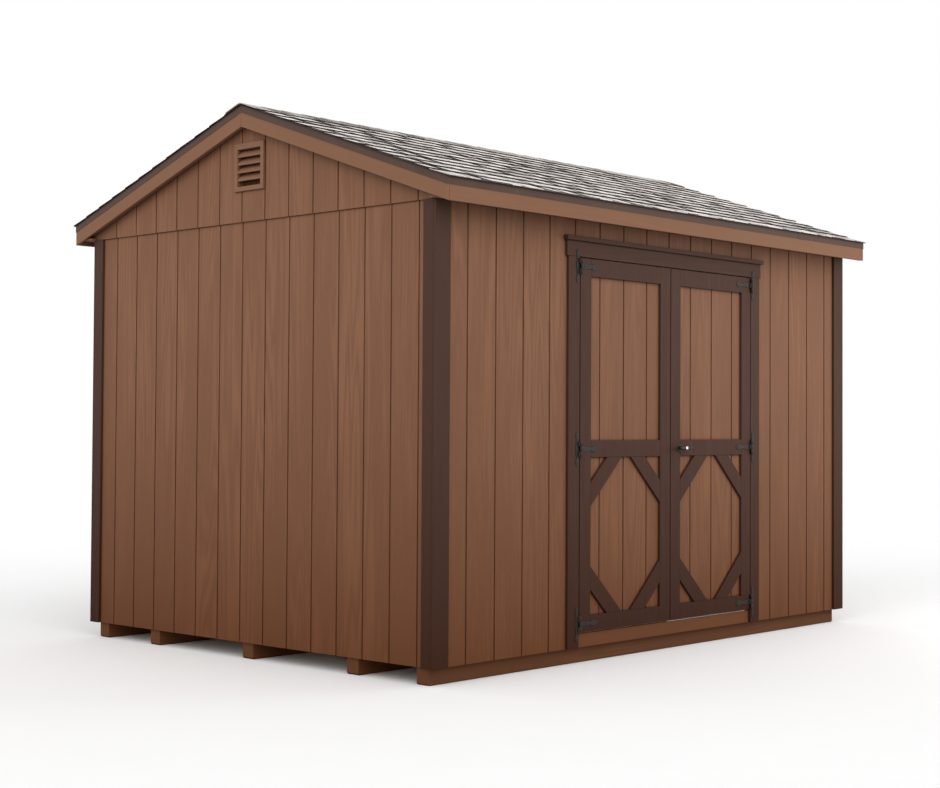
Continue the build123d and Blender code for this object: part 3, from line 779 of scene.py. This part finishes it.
def roof_slope_shingles(name, side, material):
    """Laminated shingles in courses, each a dark base with raised tabs of random width."""
    low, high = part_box(name)
    eave = high.y if side > 0 else -low.y
    lift = 1 / cos(roof_angle)
    shapes = bmesh.new()
    tint_layer = shapes.faces.layers.float.new("tint")

    def point(x, y, thickness):
        return (x, side * y, low.z + (eave - y) * roof_slope + thickness * lift)

    def slab(x0, x1, inset, y_low, y_high, under, butt, head, tint, edge_light_and_shade):
        """Tapering slab with a pale lower part and a darker band at its head: a printed shadow line and
        painted shadow of the butt above.
        """
        y_band = y_low + (y_high - y_low) * (1 - shadow_band)
        butt_band = butt + (head - butt) * (1 - shadow_band)
        under_band = max(under - butt + butt_band, 0)
        under_head = max(under - butt + head, 0)
        parts = (
            (inset, y_low, under, butt, tint),
            (inset * shadow_band, y_band, under_band, butt_band, tint - band_tint),
            (0, y_high, under_head, head, tint),
        )
        for (in0, y0, low0, top0, part_tint), (in1, y1, low1, top1, _) in zip(parts, parts[1:]):
            corners = [
                point(x0 + in0, y0, low0),
                point(x1 - in0, y0, low0),
                point(x1 - in1, y1, low1),
                point(x0 + in1, y1, low1),
                point(x0 + in0, y0, top0),
                point(x1 - in0, y0, top0),
                point(x1 - in1, y1, top1),
                point(x0 + in1, y1, top1),
            ]
            top, *edges = block(shapes, corners)
            top[tint_layer] = part_tint
            for face in edges:
                face[tint_layer] = edge_light_and_shade

    courses = round(eave / cos(roof_angle) / shingle_exposure)
    run = eave / courses
    starter = (starter_thickness, shingle_base_head)
    base = (shingle_base_butt, shingle_base_head)
    tab = (shingle_base_butt + tab_thickness, shingle_base_head + tab_thickness)
    # Starter strip, dark as painted shadow between the first course and the drip edge
    slab(low.x, high.x, 0, eave, eave - run, 0, *starter, starter_shadow_tint, starter_shadow_tint)
    for course in range(courses):
        y_low = eave - course * run
        y_high = max(y_low - run * shingle_lap, ridge_gap)
        under = 0 if course else starter_thickness
        # The first course's butts are painted lit; the others are painted shadowed
        base_edge_light_and_shade = base_edge_shadow_tint if course else first_base_edge_lit_tint
        tab_edge_light_and_shade = tab_edge_shade_tints if course else first_tab_edge_lit_tints
        start = low.x - random.uniform(0, shingle_length)
        while start < high.x:
            x0 = max(start, low.x)
            x1 = min(start + shingle_length - shingle_joint, high.x)
            if x1 - x0 > shingle_shortest:
                slab(x0, x1, 0, y_low, y_high, under, *base, random.uniform(*base_shade_tints), base_edge_light_and_shade)
            start += shingle_length
        x = low.x + random.uniform(0, tab_first_gap)
        while x < high.x - tab_last_room:
            x1 = min(x + random.uniform(*tab_widths), high.x)
            taper = min(tab_taper, (x1 - x) * tab_taper_share)
            foot = y_low - random.uniform(0, tab_stagger)
            tint = random.choice(tab_tints) + random.uniform(-tab_tint_play, tab_tint_play)
            edge_light_and_shade = random.choice(tab_edge_light_and_shade)
            slab(x, x1, taper, foot, y_high, shingle_base_butt - tab_sink, *tab, tint, edge_light_and_shade)
            x = x1 + random.choice(tab_gaps)
    add_piece(f"{name}_tabs", shapes, "shed", material, (name,))


def ridge_caps(material):
    """Cap shingles bent over the ridge, each lapping the one behind it."""
    low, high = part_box("ridge_cap")
    half = high.y
    shapes = bmesh.new()
    tint_layer = shapes.faces.layers.float.new("tint")
    lift = 1 / cos(roof_angle)

    def row(x, width, top):
        """Cross-section corners at x: the underside from front to back, then the top back again."""
        under = []
        over = []
        for y in (-width, -cap_bend, 0, cap_bend, width):
            rise = (half - abs(y)) * roof_slope
            if y == 0:
                rise -= cap_bend * roof_slope * cap_roundness
            under.append((x, y, low.z + rise + (top - cap_thickness - cap_drop) * lift))
            over.append((x, y, low.z + rise + (top - cap_drop) * lift))
        return [shapes.verts.new(corner) for corner in under + over[::-1]]

    count = round((high.x - low.x) / cap_exposure)
    step = (high.x - low.x) / count
    for i in range(count):
        x0 = low.x + i * step
        x1 = min(x0 + step * cap_lap, high.x)
        width = half - random.uniform(0, cap_play)
        head = cap_thickness + cap_rise * (1 - (x1 - x0) / step)
        first = row(x0, width, cap_thickness + cap_rise)
        last = row(x1, width - cap_taper, max(head, cap_thickness))
        made = tube(shapes, (first, last))
        made.append(shapes.faces.new(first[::-1]))
        made.append(shapes.faces.new(last))
        tint = random.uniform(*cap_tints)
        for face in made:
            face[tint_layer] = tint
    bmesh.ops.recalc_face_normals(shapes, faces=shapes.faces)
    add_piece("ridge_cap_shingles", shapes, "shed", material, ("ridge_cap",))


def drip_laps(material):
    """The end of one length of drip edge lapped over the next, once on each eave."""
    low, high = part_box("eave_drip_edges")
    shapes = bmesh.new()
    for side, face in ((-1, low.y), (1, high.y)):
        start = -side * lap_place
        end = start - side * lap_length
        ys = sorted((face + side * lap_thickness, face - side * lap_thickness))
        xs = sorted((start, end))
        plate(shapes, (xs[0], ys[0], low.z - lap_thickness), (xs[1], ys[1], low.z + lap_height))
    add_piece("drip_laps", shapes, "shed", material)


def dome(shapes, centre, axis, radius, height, sides=12, rings=3):
    """Low rounded head that stands on a face and looks along an axis."""
    turn = Vector((0, 0, 1)).rotation_difference(Vector(axis)).to_matrix().to_4x4()
    place = Matrix.Translation(Vector(centre)) @ turn
    loops = []
    for ring in range(rings):
        angle = ring / rings * pi / 2
        loop = []
        for k in range(sides):
            around = 2 * pi * k / sides
            r = radius * cos(angle)
            rim = Vector((r * cos(around), r * sin(around), height * sin(angle)))
            loop.append(shapes.verts.new(place @ rim))
        loops.append(loop)
    tip = shapes.verts.new(place @ Vector((0, 0, height)))
    tube(shapes, loops)
    for k in range(sides):
        shapes.faces.new((loops[-1][k], loops[-1][(k + 1) % sides], tip))
    shapes.faces.new(loops[0][::-1])


def heads(name, places, size, body, material):
    """Many fastener heads as one mesh; each place is a centre and an outward axis."""
    shapes = bmesh.new()
    for centre, axis in places:
        dome(shapes, centre, axis, *size)
    piece = add_piece(name, shapes, body, material)
    for face in piece.data.polygons:
        face.use_smooth = True


def joint_place(name):
    """Where a joint's axis passes."""
    for joint in frame["record"]["behaviour"]["joints"]:
        if joint["name"] == name:
            return Vector(joint["pos_m"])
    raise KeyError(name)


def span(low, high, spacing):
    """Even places between two ends, as near to the spacing as they fit."""
    count = max(1, round((high - low) / spacing))
    return [low + (high - low) * i / count for i in range(count + 1)]


def inside(low, high, distances):
    """Places at some distances inside both ends."""
    return [low + distance for distance in distances] + [high - distance for distance in distances]


def hinge_screws(iron):
    """Round-headed screws through the straps and the flanges."""
    for door, side in (("left", -1), ("right", 1)):
        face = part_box(f"{door}_door_trim")[0].y - hinge_plate
        pin_x = joint_place(f"{door}_door_hinge").x
        strap_x = [pin_x - side * along for along in strap_screws]
        strap = [((x, face, z), forward) for z in hinge_heights for x in strap_x]
        heads(f"{door}_strap_screws", strap, hinge_screw, f"{door}_door", iron)
        flange_x = pin_x + side * flange_middle
        flange = [((flange_x, face, z + up), forward) for z in hinge_heights for up in flange_screws]
        heads(f"{door}_flange_screws", flange, hinge_screw, "shed", iron)


def board_nails(trim):
    """Painted nail heads in pairs along the trim boards."""
    low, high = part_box("eave_corner_boards")
    rows = span(low.z + board_nail_end, high.z - board_nail_end, board_nail_spacing)
    places = []
    for x in inside(low.x, high.x, corner_nail_rows):
        places += [((x, low.y, z), forward) for z in rows]
        places += [((x, high.y, z), backward) for z in rows]
    low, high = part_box("door_casings")
    rows = span(low.z + board_nail_end, high.z - board_nail_end, board_nail_spacing)
    for x in inside(low.x, high.x, board_nail_rows):
        places += [((x, low.y, z), forward) for z in rows]
    low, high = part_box("header_board")
    along = span(low.x + board_nail_end, high.x - board_nail_end, board_nail_spacing)
    for z in inside(low.z, high.z, (header_nail_edge,)):
        places += [((x, low.y, z), forward) for x in along]
    low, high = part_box("gable_corner_boards")
    rows = span(low.z + board_nail_end, high.z - board_nail_end, board_nail_spacing)
    for y in inside(low.y, high.y, board_nail_rows):
        places += [((low.x, y, z), leftward) for z in rows]
        places += [((high.x, y, z), rightward) for z in rows]
    heads("trim_nails", places, trim_nail, "shed", trim)
    for door in ("left", "right"):
        low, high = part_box(f"{door}_door_trim")
        rows = span(low.z + leaf_nail_foot, high.z - leaf_nail_top, leaf_nail_spacing)
        places = [((x, low.y, z), forward) for x in inside(low.x, high.x, board_nail_rows) for z in rows]
        body = f"{door}_door"
        heads(f"{body}_nails", places, trim_nail, body, trim)


def siding_nails(siding):
    """Painted nail heads along the studs and edges of the siding."""
    front_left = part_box("front_wall_left")
    front_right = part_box("front_wall_right")
    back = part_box("back_wall")
    low, high = front_left
    rows = span(low.z + siding_nail_end, high.z - siding_nail_end, siding_nail_spacing)
    places = []
    for wall, left, right, axis in (
        (front_left, siding_nail_outer, siding_nail_inner, forward),
        (front_right, siding_nail_inner, siding_nail_outer, forward),
        (back, siding_nail_outer, siding_nail_outer, backward),
    ):
        low, high = wall
        face = low.y if axis == forward else high.y
        for x in span(low.x + left, high.x - right, stud_spacing):
            places += [((x, face, z), axis) for z in rows]
    low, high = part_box("left_wall")
    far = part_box("right_wall")[1].x
    rows = span(low.z + siding_nail_end, high.z - siding_nail_end, siding_nail_spacing)
    for y in span(low.y + siding_nail_side, high.y - siding_nail_side, stud_spacing):
        places += [((low.x, y, z), leftward) for z in rows]
        places += [((far, y, z), rightward) for z in rows]
    heads("siding_nails", places, siding_nail, "shed", siding)


def vent_screws(vent):
    """A screw in each corner of the vents' flanges."""
    low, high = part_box("vent_frames")
    places = []
    for y in inside(low.y, high.y, (vent_screw_side,)):
        for z in inside(low.z, high.z, (vent_screw_end,)):
            places.append(((low.x, y, z), leftward))
            places.append(((high.x, y, z), rightward))
    heads("vent_screws", places, vent_screw, "shed", vent)


def screen_cloth():
    """Dark woven insect screen, brown to stand for the shaded slats: painted shade."""
    finish = Finish("screen_cloth")
    weave = None
    for along in ("Y", "Z"):
        wave = finish.math("SINE", finish.math("MULTIPLY", finish.axis(along), 2 * pi / screen_pitch))
        weave = wave if weave is None else finish.math("MULTIPLY", weave, wave)
    dust = finish.noise(finish.place, 30, 4, 0.7)
    tone = finish.mix(finish.spread(dust, 0.4, 0.7), screen_shade_colour, scaled(screen_shade_colour, 1.5))
    finish.set("Base Color", tone)
    finish.set("Roughness", 0.9)
    finish.set("Specular IOR Level", 0.1)
    finish.set("Normal", finish.bump(weave, 0.5, 0.0004))
    return finish.material


def vent_screens():
    """Insect screen stretched across the inner side of each vent, whose dark brown is painted shade
    behind the slats.
    """
    low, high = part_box("vent_slats")
    shapes = bmesh.new()
    for x in (low.x + screen_depth, high.x - screen_depth):
        near = (x, low.y - screen_lap, low.z - screen_lap)
        plate(shapes, near, (x + screen_thickness, high.y + screen_lap, high.z + screen_lap))
    add_piece("vent_screens", shapes, "shed", screen_cloth())


def key_cylinder():
    """Bright lock face in the middle of the T-handle, with a slot for the key."""
    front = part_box("t_handle")[0].y + key_sink
    centre = joint_place("handle_turn")
    shapes = bmesh.new()
    rings = [(share, share, out) for share, out in key_profile]
    rings.append((keyhole_half_width, keyhole_half_height, keyhole_out))
    rings.append((keyhole_half_width, keyhole_half_height, 0))
    loops = []
    for wide, high, out in rings:
        loop = []
        for k in range(key_sides):
            around = 2 * pi * k / key_sides
            x = centre.x + key_radius * wide * cos(around)
            z = centre.z + key_radius * high * sin(around)
            loop.append(shapes.verts.new((x, front - out, z)))
        loops.append(loop)
    tube(shapes, loops)
    shapes.faces.new(loops[-1])
    bmesh.ops.recalc_face_normals(shapes, faces=shapes.faces)
    metal = bare_metal("key_metal", key_colour, (1, 1, 1), 0.2)
    add_piece("key_cylinder", shapes, "handle", metal)


def floor():
    """Level ground plane of the studio."""
    shapes = bmesh.new()
    bmesh.ops.create_grid(shapes, x_segments=8, y_segments=8, size=floor_size / 2)
    mesh = mesh_from("studio_floor", shapes)
    mesh.materials.append(floor_finish())
    made = bpy.data.objects.new("studio_floor", mesh)
    scene.collection.objects.link(made)


camera()
world()
sun("key_light", key_direction, key_strength)
sun("side_light", side_direction, side_strength)
fill_lamp()
floor()
finishes = dress_nodes()
ease_edges()
shingle = shingle_finish("shingle_granules")
roof_slope_shingles("front_shingles", -1, shingle)
roof_slope_shingles("back_shingles", 1, shingle)
ridge_caps(shingle)
hinge_screws(finishes["iron"])
board_nails(finishes["trim"])
siding_nails(finishes["siding"])
vent_screws(finishes["vent"])
drip_laps(finishes["drip"])
vent_screens()
key_cylinder()
